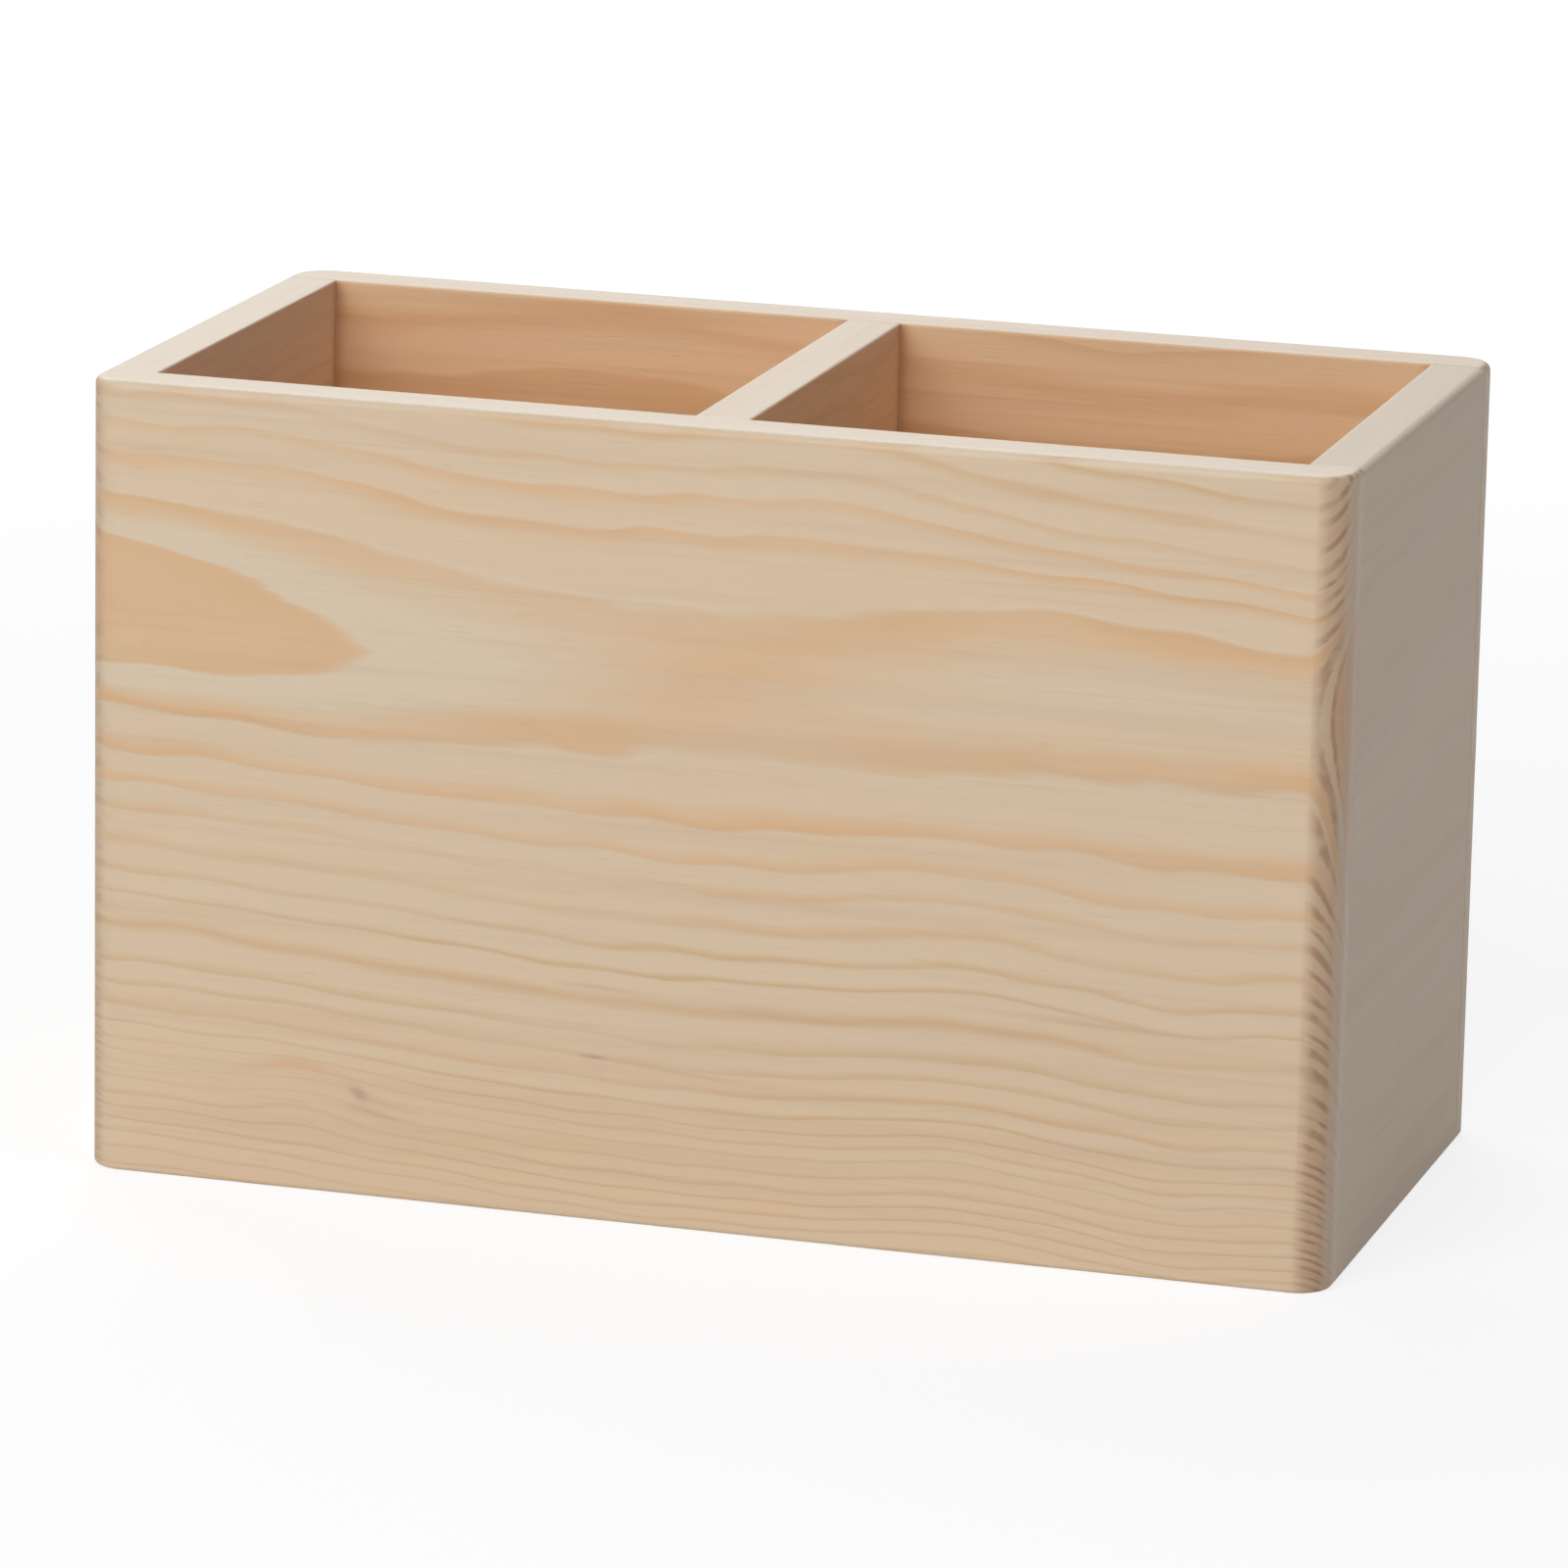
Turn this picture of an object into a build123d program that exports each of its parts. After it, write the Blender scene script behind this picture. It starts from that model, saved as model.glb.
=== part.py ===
from build123d import *
import os

# Pine desk box with two open compartments for pens, in millimetres.
# The origin is the middle of the footprint, on the surface that the box stands on.
# +X runs along the length, +Y from the front to the back, +Z up.

# Outside of the box
length = 160.0
depth = 80.0
height = 101.0
corner_radius = 4.5
rim_radius = 1.0
foot_chamfer = 0.6
mouth_chamfer = 0.25

# Boards
face_thickness = 7.0
end_thickness = 7.0
divider_thickness = 7.0

# Bottom panel in its grooves
bottom_thickness = 5.0
bottom_lift = 5.0
panel_chamfer = 0.4
groove_depth = 3.0
groove_edge_gap = 0.25
groove_top_gap = 0.1

# Dowel pins, glued into the front and back boards and into the ends of the cross boards
dowel_diameter = 3.0
dowel_length = 14.0
dowel_chamfer = 0.4
dowel_seat = 4.0
dowel_fit = 0.05
dowel_rows = 3
dowel_margin = 12.0
glue_room = 0.5

# Places that follow from the sizes
inside_length = length - 2 * end_thickness
inside_depth = depth - 2 * face_thickness
floor_level = bottom_lift + bottom_thickness
compartment_length = (inside_length - divider_thickness) / 2
compartment_pitch = compartment_length + divider_thickness
cross_board_pitch = (length - end_thickness) / 2
dowel_middle = (height + floor_level) / 2
dowel_pitch = (height - floor_level - 2 * dowel_margin) / (dowel_rows - 1)
dowel_hole_radius = dowel_diameter / 2 + dowel_fit

# Room that the bottom panel takes in the four walls
with BuildPart() as groove_room:
    with BuildSketch(Plane.XY.offset(bottom_lift)):
        Rectangle(inside_length + 2 * groove_depth, inside_depth + 2 * groove_depth)
    extrude(amount=bottom_thickness + groove_top_gap)

# Flared room over both mouths, which eases the inner edges of the rim
with BuildPart() as mouth_room:
    with BuildSketch(Plane.XY.offset(height - 2 * mouth_chamfer)):
        with GridLocations(compartment_pitch, 0, 2, 1):
            Rectangle(compartment_length - 2 * mouth_chamfer, inside_depth - 2 * mouth_chamfer)
    extrude(amount=3 * mouth_chamfer, taper=-45)


def end_grain_holes(x):
    """Drill the dowel holes into the front and back ends of the cross board that stands at x."""
    for side in (-1, 1):
        end_face = Plane(
            origin=(x, side * inside_depth / 2, dowel_middle), x_dir=(1, 0, 0), z_dir=(0, side, 0)
        )
        with Locations(end_face):
            with GridLocations(0, dowel_pitch, 1, dowel_rows):
                Hole(dowel_hole_radius, dowel_length - dowel_seat + glue_room)


# Front board, over the whole length, with rounded upright corners
with BuildPart() as front_board:
    with BuildSketch(Plane.XY) as front_plan:
        with Locations((0, (face_thickness - depth) / 2)):
            Rectangle(length, face_thickness)
        fillet(front_plan.vertices().group_by(Axis.Y)[0], corner_radius)
    extrude(amount=height)
    outer_rim = front_board.faces().sort_by(Axis.Z)[-1].edges().sort_by(Axis.Y)[:-1]
    fillet(outer_rim, rim_radius)
    outer_foot = front_board.faces().sort_by(Axis.Z)[0].edges().sort_by(Axis.Y)[:-1]
    chamfer(outer_foot, foot_chamfer)
    add(groove_room.part, mode=Mode.SUBTRACT)
    add(mouth_room.part, mode=Mode.SUBTRACT)
    inner_face = Plane(
        origin=(0, -inside_depth / 2, dowel_middle), x_dir=(1, 0, 0), z_dir=(0, 1, 0)
    )
    with Locations(inner_face):
        with GridLocations(cross_board_pitch, dowel_pitch, 3, dowel_rows):
            Hole(dowel_hole_radius, dowel_seat + glue_room)

# Back board, the front board's mirror image
with BuildPart() as back_board:
    mirror(front_board.part, about=Plane.XZ)

# Left end board, between the front and back boards
with BuildPart() as left_end_board:
    with BuildSketch(Plane.XY):
        with Locations((-cross_board_pitch, 0)):
            Rectangle(end_thickness, inside_depth)
    extrude(amount=height)
    outer_edges = left_end_board.edges().filter_by(Axis.Y).group_by(Axis.X)[0]
    fillet(outer_edges.sort_by(Axis.Z)[-1], rim_radius)
    chamfer(outer_edges.sort_by(Axis.Z)[0], foot_chamfer)
    add(groove_room.part, mode=Mode.SUBTRACT)
    add(mouth_room.part, mode=Mode.SUBTRACT)
    end_grain_holes(-cross_board_pitch)

# Right end board, the left one's mirror image
with BuildPart() as right_end_board:
    mirror(left_end_board.part, about=Plane.YZ)

# Divider, standing on the bottom panel and flush with the rim
with BuildPart() as divider:
    with BuildSketch(Plane.XY.offset(floor_level)):
        Rectangle(divider_thickness, inside_depth)
    extrude(amount=height - floor_level)
    add(mouth_room.part, mode=Mode.SUBTRACT)
    end_grain_holes(0)

# Bottom panel, resting on the lower side of the grooves
with BuildPart() as bottom_panel:
    with BuildSketch(Plane.XY.offset(bottom_lift)):
        Rectangle(
            inside_length + 2 * (groove_depth - groove_edge_gap),
            inside_depth + 2 * (groove_depth - groove_edge_gap),
        )
    extrude(amount=bottom_thickness)
    chamfer(bottom_panel.edges(), panel_chamfer)


def dowel_pins(x, side):
    """Make the dowel pins of one joint: x is its cross board's place, side is -1 in front, 1 behind."""
    with BuildPart() as pins:
        seat = Plane(
            origin=(x, side * (inside_depth / 2 + dowel_seat), dowel_middle),
            x_dir=(1, 0, 0),
            z_dir=(0, -side, 0),
        )
        with BuildSketch(seat):
            with GridLocations(0, dowel_pitch, 1, dowel_rows):
                Circle(dowel_diameter / 2)
        extrude(amount=dowel_length)
        chamfer(pins.edges().filter_by(GeomType.CIRCLE), dowel_chamfer)
    return pins


pieces = {
    "front_board": front_board,
    "back_board": back_board,
    "left_end_board": left_end_board,
    "right_end_board": right_end_board,
    "divider": divider,
    "bottom_panel": bottom_panel,
    "dowels_front_left": dowel_pins(-cross_board_pitch, -1),
    "dowels_front_right": dowel_pins(cross_board_pitch, -1),
    "dowels_back_left": dowel_pins(-cross_board_pitch, 1),
    "dowels_back_right": dowel_pins(cross_board_pitch, 1),
    "dowels_divider_front": dowel_pins(0, -1),
    "dowels_divider_back": dowel_pins(0, 1),
}

os.makedirs("parts", exist_ok=True)
for name, piece in pieces.items():
    piece.part.label = name
    export_step(piece.part, f"parts/{name}.step")
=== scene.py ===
"""Pine desk box with two open compartments for pens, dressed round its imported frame.

Shapes and grain are worked out in millimetres, in the frame's axes: +X along the length,
+Y from the front to the back, +Z up from the surface that the box stands on.
"""

import math
from collections.abc import Callable
from dataclasses import dataclass
from types import SimpleNamespace

import bpy
import numpy as np
from bpy.props import FloatProperty, FloatVectorProperty, PointerProperty
from bpy.types import Operator, Panel, PropertyGroup
from mathutils import Matrix, Vector


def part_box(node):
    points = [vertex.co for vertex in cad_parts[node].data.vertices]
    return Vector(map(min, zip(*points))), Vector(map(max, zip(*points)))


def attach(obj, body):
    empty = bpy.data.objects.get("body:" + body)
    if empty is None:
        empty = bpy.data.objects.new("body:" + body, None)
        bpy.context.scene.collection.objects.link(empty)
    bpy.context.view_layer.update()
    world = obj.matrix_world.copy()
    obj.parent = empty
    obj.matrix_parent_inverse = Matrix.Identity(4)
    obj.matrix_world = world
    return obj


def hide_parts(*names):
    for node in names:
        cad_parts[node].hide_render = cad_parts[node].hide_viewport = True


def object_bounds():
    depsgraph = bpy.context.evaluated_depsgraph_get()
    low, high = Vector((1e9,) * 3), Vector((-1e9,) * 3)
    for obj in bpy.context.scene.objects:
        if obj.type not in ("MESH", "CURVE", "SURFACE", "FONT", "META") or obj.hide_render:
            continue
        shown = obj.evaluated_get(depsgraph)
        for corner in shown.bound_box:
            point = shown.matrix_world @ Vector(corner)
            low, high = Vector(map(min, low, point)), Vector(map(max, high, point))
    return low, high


bl_info = {
    "name": "Pine desk box",
    "version": (1, 0, 0),
    "blender": (4, 5, 0),
    "location": "View3D > Sidebar > Pine box",
    "description": "Makes the boards, finishes and studio of a pine box for pens",
    "category": "Object",
}

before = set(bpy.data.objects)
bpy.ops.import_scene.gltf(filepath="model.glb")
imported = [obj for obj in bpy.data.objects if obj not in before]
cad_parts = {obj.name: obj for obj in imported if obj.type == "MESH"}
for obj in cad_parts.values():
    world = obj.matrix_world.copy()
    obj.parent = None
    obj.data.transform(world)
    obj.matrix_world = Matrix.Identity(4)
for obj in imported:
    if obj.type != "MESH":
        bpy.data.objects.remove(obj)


def plain_box():
    """Lowest and highest corner of everything on the frame, as plain lists."""
    return [[float(part) for part in corner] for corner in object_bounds()]


CAD_BOX = plain_box()
MM = 1000.0

# Radius of the upright corners in millimetres, to which the front board's rings are fitted too
CORNER = 4.5


def span(node, axis):
    """Extent of a frame node along one axis, in metres."""
    low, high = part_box(node)
    return float(high[axis] - low[axis])


# Settings that a user would change


class BoxSizes(PropertyGroup):
    """Sizes of the box that its boards are cut to."""

    length: FloatProperty(
        name="Length", description="Outside length along X",
        default=span("front_board", 0), unit="LENGTH",
    )
    depth: FloatProperty(
        name="Depth", description="Outside depth along Y",
        default=CAD_BOX[1][1] - CAD_BOX[0][1], unit="LENGTH",
    )
    height: FloatProperty(
        name="Height", description="Height of the rim",
        default=span("front_board", 2), unit="LENGTH",
    )
    board: FloatProperty(
        name="Board", description="Thickness of the upright boards",
        default=span("front_board", 1), unit="LENGTH",
    )
    floor_level: FloatProperty(
        name="Floor level", description="Height of the compartments' floor",
        default=float(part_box("divider")[0][2]), unit="LENGTH",
    )
    floor_thickness: FloatProperty(
        name="Floor thickness", description="Thickness of the bottom panel",
        default=span("bottom_panel", 2), unit="LENGTH",
    )
    groove_depth: FloatProperty(
        name="Groove depth", description="Depth of the bottom panel's grooves",
        default=0.003, unit="LENGTH",
    )
    groove_gap: FloatProperty(
        name="Groove gap", description="Room over the bottom panel in its grooves",
        default=0.0001, unit="LENGTH",
    )
    corner_radius: FloatProperty(
        name="Corner radius", description="Rounding of the four upright corners",
        default=CORNER / MM, unit="LENGTH",
    )
    rim_radius: FloatProperty(
        name="Rim radius", description="Rounding of the rim's outer edge",
        default=0.001, unit="LENGTH",
    )
    foot_ease: FloatProperty(
        name="Foot ease", description="Easing of the lower outer edge",
        default=0.0006, unit="LENGTH",
    )
    mouth_ease: FloatProperty(
        name="Mouth ease", description="Easing of the rim's inner edges",
        default=0.00025, unit="LENGTH",
    )
    seam_ease: FloatProperty(
        name="Seam ease", description="Depth of the hairline where two boards meet",
        default=0.00005, unit="LENGTH",
    )
    grain_relief: FloatProperty(
        name="Grain relief", description="How far the soft early wood is sanded below the late wood",
        default=0.000012, unit="LENGTH",
    )
    pin_radius: FloatProperty(
        name="Pin hole radius", description="Radius of the dowel holes",
        default=0.00155, unit="LENGTH",
    )
    pin_seat: FloatProperty(
        name="Pin seat", description="Depth of the dowel holes in the front and back boards",
        default=0.0045, unit="LENGTH",
    )
    pin_reach: FloatProperty(
        name="Pin reach", description="Depth of the dowel holes in the ends of the cross boards",
        default=0.0105, unit="LENGTH",
    )


class PineLook(PropertyGroup):
    """Colours of the planed and sanded pine."""

    early: FloatVectorProperty(
        name="Early wood", description="Pale wood grown in spring",
        default=(0.77, 0.63, 0.455), subtype="COLOR",
    )
    late: FloatVectorProperty(
        name="Late wood", description="Brown summer wood of later years",
        default=(0.70, 0.50, 0.28), subtype="COLOR",
    )
    warm: FloatVectorProperty(
        name="Warm wood", description="Honey-coloured heart and summer wood of early years",
        default=(0.81, 0.508, 0.273), subtype="COLOR",
    )
    ring_edge: FloatVectorProperty(
        name="Ring edge", description="Thin dark end of each ring, fibres and resin",
        default=(0.578, 0.385, 0.23), subtype="COLOR",
    )
    # Painted sheen: the rim's upward faces are paled to this colour in place of the lamps' sheen on the
    # top
    sanded: FloatVectorProperty(
        name="Sanded edge", description="Paler wood of the sanded rim",
        default=(0.87, 0.76, 0.60), subtype="COLOR",
    )
    # Painted light: this warm colour inside the box stands in for warm light bounced between its walls,
    # and for shade deeper down
    inner: FloatVectorProperty(
        name="Inner wood", description="Warm wood on the inside of the box",
        default=(0.88, 0.555, 0.30), subtype="COLOR",
    )
    # Real orange wood in the inside streaks and a front mark; inside the box it is also laid on the
    # late wood as painted warm bounce light
    honey: FloatVectorProperty(
        name="Orange wood",
        description="Orange late wood and streaks inside the box, and a mark in front",
        default=(0.72, 0.40, 0.19), subtype="COLOR",
    )
    seam: FloatVectorProperty(
        name="Seam", description="Brown line along the inner corners",
        default=(0.46, 0.22, 0.10), subtype="COLOR",
    )
    # Painted shade: greys the right end board, on the shaded side of the box, and the flat ends of
    # boards
    dull_and_shade: FloatVectorProperty(
        name="Dull wood", description="Greyer wood of the right end board and of flat ends",
        default=(0.44, 0.37, 0.30), subtype="COLOR",
    )
    end_grain: FloatVectorProperty(
        name="End grain", description="Open ends of the fibres",
        default=(0.42, 0.255, 0.145), subtype="COLOR",
    )
    knot: FloatVectorProperty(
        name="Knot", description="Pin knots in the front board",
        default=(0.26, 0.15, 0.085), subtype="COLOR",
    )
    roughness: FloatProperty(
        name="Roughness", description="Roughness of the sanded face",
        default=0.40, min=0.0, max=1.0, subtype="FACTOR",
    )


class DowelLook(PropertyGroup):
    """Colours of the beech dowel pins."""

    wood: FloatVectorProperty(
        name="Beech", description="Ground colour of the pins",
        default=(0.58, 0.39, 0.25), subtype="COLOR",
    )
    fleck: FloatVectorProperty(
        name="Fleck", description="Short dark rays and clouds along the pins",
        default=(0.40, 0.24, 0.14), subtype="COLOR",
    )


class StageSetup(PropertyGroup):
    """Camera, lamps and floor."""

    lens: FloatProperty(name="Lens", description="Focal length in millimetres", default=209.24)
    yaw: FloatProperty(
        name="Yaw", description="Turn of the view to the left, from straight at the front",
        default=math.radians(16.456), subtype="ANGLE",
    )
    pitch: FloatProperty(
        name="Pitch", description="Downward tilt of the view",
        default=math.radians(13.869), subtype="ANGLE",
    )
    roll: FloatProperty(
        name="Roll", description="Roll of the camera", default=math.radians(1.160), subtype="ANGLE"
    )
    place: FloatVectorProperty(
        name="Place", description="Where the camera stands",
        default=(0.31508, -1.07038, 0.32301), subtype="TRANSLATION", unit="LENGTH",
    )
    key: FloatProperty(
        name="Key lamp", description="Power in watts of the large lamp at the front left", default=21.9
    )
    fill: FloatProperty(
        name="Fill lamp", description="Power in watts of the weak lamp at the right", default=3.85
    )
    back: FloatProperty(
        name="Back lamp", description="Power in watts of the large lamp behind, at the left",
        default=20.8,
    )
    ambient: FloatProperty(
        name="Ambient", description="Strength of the studio's own light", default=0.03
    )
    cool: FloatVectorProperty(
        name="Cool", description="Colour of the studio's own light and of the fill lamp",
        default=(0.86, 0.85, 1.0), subtype="COLOR",
    )
    floor: FloatVectorProperty(
        name="Floor", description="Colour of the floor, under its glow, as the camera sees it",
        default=(0.25, 0.25, 0.25), subtype="COLOR",
    )
    bounce: FloatVectorProperty(
        name="Bounce", description="Colour of the floor as it throws light back",
        default=(0.75, 0.75, 0.75), subtype="COLOR",
    )
    floor_glow: FloatProperty(
        name="Floor glow", description="Glow of the floor near the box, as the camera sees it",
        default=0.81,
    )


def box_sizes(settings):
    """The box's sizes in millimetres, and how far its inner faces lie from the middle."""
    size = SimpleNamespace(**{key: getattr(settings, key) * MM for key in settings.__annotations__})
    size.inner_x = size.length / 2 - size.board
    size.inner_y = size.depth / 2 - size.board
    return size


# Numbers that vary over a surface


class Value:
    """A number that varies over a surface: it wraps a socket, and sums on it add Math nodes."""

    def __init__(self, finish, socket):
        self.finish = finish
        self.socket = socket

    def __add__(self, other):
        return self.finish.maths("ADD", self, other)

    __radd__ = __add__

    def __sub__(self, other):
        return self.finish.maths("SUBTRACT", self, other)

    def __rsub__(self, other):
        return self.finish.maths("SUBTRACT", other, self)

    def __mul__(self, other):
        return self.finish.maths("MULTIPLY", self, other)

    __rmul__ = __mul__

    def __truediv__(self, other):
        return self.finish.maths("DIVIDE", self, other)

    def __neg__(self):
        return self.finish.maths("MULTIPLY", self, -1.0)


class Finish:
    """A node tree in the making, with a method for each kind of thing that is added to it."""

    def __init__(self, tree):
        self.tree = tree
        tree.nodes.clear()

    def node(self, kind, sockets=None, **settings):
        """Add a node of one kind, set its settings, then fill or link its sockets."""
        node = self.tree.nodes.new(kind)
        for key, setting in settings.items():
            setattr(node, key, setting)
        for key, given in (sockets or {}).items():
            if isinstance(given, Value):
                given = given.socket
            if isinstance(given, bpy.types.NodeSocket):
                self.tree.links.new(given, node.inputs[key])
            else:
                node.inputs[key].default_value = given
        return node

    def maths(self, operation, *numbers):
        """Value of one Math node on numbers and Values."""
        node = self.node("ShaderNodeMath", dict(enumerate(numbers)), operation=operation)
        return Value(self, node.outputs[0])

    def mix(self, share, first, second):
        """The colour that goes from the first to the second as share goes from 0 to 1."""
        sockets = {0: share, 6: first, 7: second}
        return self.node("ShaderNodeMix", sockets, data_type="RGBA").outputs[2]

    def along(self, vector, axis):
        """Value of a vector's part along an axis."""
        node = self.node("ShaderNodeVectorMath", {0: vector, 1: axis}, operation="DOT_PRODUCT")
        return Value(self, node.outputs["Value"])

    def noise(self, place, stretch, detail=2.0, shift=0.0):
        """Value between 0 and 1 of a noise whose cells per metre are given along X, Y and Z."""
        sockets = {"Vector": place, "Location": (shift, shift, shift), "Scale": stretch}
        scaled = self.node("ShaderNodeMapping", sockets)
        sockets = {"Vector": scaled.outputs[0], "Scale": 1.0, "Detail": detail, "Roughness": 0.55}
        return Value(self, self.node("ShaderNodeTexNoise", sockets).outputs[0])


def either(operation, plain, number):
    """A Math node's operation on a Value, or numpy's own on an array."""
    return number.finish.maths(operation, number) if isinstance(number, Value) else plain(number)


def sine(number):
    """Sine of a Value or an array."""
    return either("SINE", np.sin, number)


def root(number):
    """Square root of a Value or an array."""
    return either("SQRT", np.sqrt, number)


def whole(number):
    """Whole part of a Value or an array, rounded down."""
    return either("FLOOR", np.floor, number)


def size_of(number):
    """A Value or an array without its sign."""
    return either("ABSOLUTE", np.abs, number)


def bell(number, centre, width):
    """Bell curve: 1 at the centre, about a third one width away from it."""
    away = (number - centre) / width
    return either("EXPONENT", np.exp, -(away * away))


def smooth(low, high, number):
    """Soft step from 0 below low to 1 above high."""
    if isinstance(number, Value):
        sockets = {"Value": number, "From Min": low, "From Max": high}
        node = number.finish.node("ShaderNodeMapRange", sockets, interpolation_type="SMOOTHSTEP")
        return Value(number.finish, node.outputs[0])
    part = np.clip((number - low) / (high - low), 0, 1)
    return part * part * (3 - 2 * part)


# Growth rings, by one formula for arrays of points in the meshes and for Values in the finishes


def front_sway(along, up):
    """Height by which the rings of the front board wander.

    There is one line for each third of the board's height, blended softly, and a crest at the right.
    """
    upper = 3.4 * bell(along, 16, 22) + 1.6 * bell(along, -56, 18) - 0.066 * (along + 80) + 0.8
    middle = 2.4 * smooth(0, 60, along) - 4.2 * smooth(-85, -40, along) + 0.6
    lower = 1.6 * bell(along, 33, 14) - 1.0 * bell(along, 61, 9) - 4.0 * smooth(-80, 0, along)
    crest = 3.6 * bell(along, 48, 20) * bell(up, 82, 7)
    high, low = smooth(72, 90, up), 1 - smooth(46, 64, up)
    return crest + middle + (upper - middle) * high + (lower - middle) * low


def front_flame(along, side):
    """How far the rings of the front board are drawn in towards the pith's line.

    It grows to the left, where the rings end in a tongue, and is a bell across the line.
    """
    run = along + 25
    ramp = 0.029 * (root(run * run + 190) - run)
    drawn = 0.10 + ramp - 0.35 * bell(along, 0, 15) + 0.25 * smooth(15, 45, along)
    return drawn * bell(side, 0, 11.5)


def front_bow(along):
    """How far the pith of the front board bends back at the left end, so that rings run straight there.

    It is the first three terms of the series of a quarter circle's drop, from where the corner starts.
    """
    past = CAD_BOX[0][0] * MM + CORNER - along
    reach = (root(past * past + 0.1) + past) / 2
    square = reach * reach
    first, second, third = 1 / (2 * CORNER), 1 / (8 * CORNER**3), 1 / (16 * CORNER**5)
    return square * (first + square * (second + square * third))


def plain_sway(slope, phase):
    """Sway of a plain board: a slope and two long waves along it."""

    def sway(along, up):
        return slope * along + 1.5 * sine(along * 0.06 + phase) + 0.6 * sine(along * 0.13 + 2 * phase)

    return sway


@dataclass
class Grain:
    """How one board was cut from its log, in millimetres, and how its wood looks."""

    # Axes along, through and up the board
    axes: tuple
    # Where the pith's line lies, through and up
    pith: tuple
    # Distance from the pith to the first ring
    first_ring: float
    # How far the pith's line wanders up, by place along and up
    sway: Callable
    # Bells that swell the rings: place along and up, width, height and amount
    swellings: tuple
    # Width of a ring
    width: float
    # Distances past the first ring, each with the change from there on in rings to the millimetre
    growth: tuple = ()
    # How far the rings are drawn in, by place along and height over the pith's line
    flame: Callable = None
    # How far the pith's line bends through the board, by place along
    bow: Callable = None
    # Share of honey colour inside the innermost ring
    heart: float = 0.0
    # Share of painted warm bounce light and shade inside the box
    painted_bounce: float = 0.3
    # Contrast of the rings
    contrast: float = 1.0
    # Roughness added to the look's own
    rough: float = 0.0
    # Share of orange streaks inside the box
    streaks: float = 0.0
    # Share of greyer wood, painted shade on a board on the shaded side
    dull_and_shade: float = 0.0

    def rings(self, place):
        """Count of rings out from the first one at a place given as x, y and z.

        It is the distance from the pith's line, which sways and bows along the board, less a flame
        and plus bell-shaped swellings and a slow ripple, over a ring width that changes outwards:
        by short waves, and by soft ramps from the distances of growth on.
        """
        along, through, up = (place[axis] for axis in self.axes)
        deep = through - self.pith[0]
        if self.bow:
            deep = deep - self.bow(along)
        side = up - self.pith[1] - self.sway(along, up)
        reach = root(deep * deep + side * side)
        if self.flame:
            reach = reach - self.flame(along, side)
        for at_along, at_up, wide, tall, amount in self.swellings:
            reach = reach + amount * bell(along, at_along, wide) * bell(up, at_up, tall)
        ripple = 0.08 * sine(along * 0.17 + up * 0.21) + 0.05 * sine(along * 0.33 - up * 0.29 + 1.0)
        ripple = ripple + 0.10 * sine(along * 0.41 + up * 0.8) * sine(along * 0.05 + 2.0)
        out = reach + ripple * (1 - bell(side, 0, 9)) - self.first_ring
        count = out / self.width - 0.12 * sine(out * 0.9) - 0.10 * sine(out * 0.37)
        count = count + 0.05 * sine(out * 2.9)
        for start, change in self.growth:
            past = out - start
            count = count + change / 2 * (root(past * past + 4) + past)
        return count

    def late_wood(self, count):
        """Shares, from 0 to 1, of late wood, of the ring's thin dark end and of the honey heart."""
        ring = whole(count)
        part = count - ring
        uneven = 0.82 + 0.18 * sine(ring * 1.1 + 2.67)
        strength = self.contrast * uneven * (1 - 0.25 * smooth(4, 12, ring))
        close = strength * (1 - smooth(0.86, 1.0, part))
        late = close * smooth(0.40, 0.80, part - 0.12 * smooth(0, 2, ring))
        heart = self.heart * (1 - smooth(-1.10, -0.98, count))
        return late * (1 - 0.6 * heart), close * smooth(0.70, 0.90, part) * (1 - heart), heart

    def tone(self, count):
        """Share of honey colour in all the wood of a year: least in the heart, more in later years."""
        ring = whole(count)
        return 0.18 * smooth(-1, 0, ring) + 0.10 * smooth(4, 12, ring) + 0.04 * sine(ring * 2.3)


# Axes along, through and up a board: the long walls, the cross boards and the bottom panel
LONG_WALL = (0, 1, 2)
CROSS_BOARD = (1, 0, 2)
FLAT_PANEL = (0, 2, 1)

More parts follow.
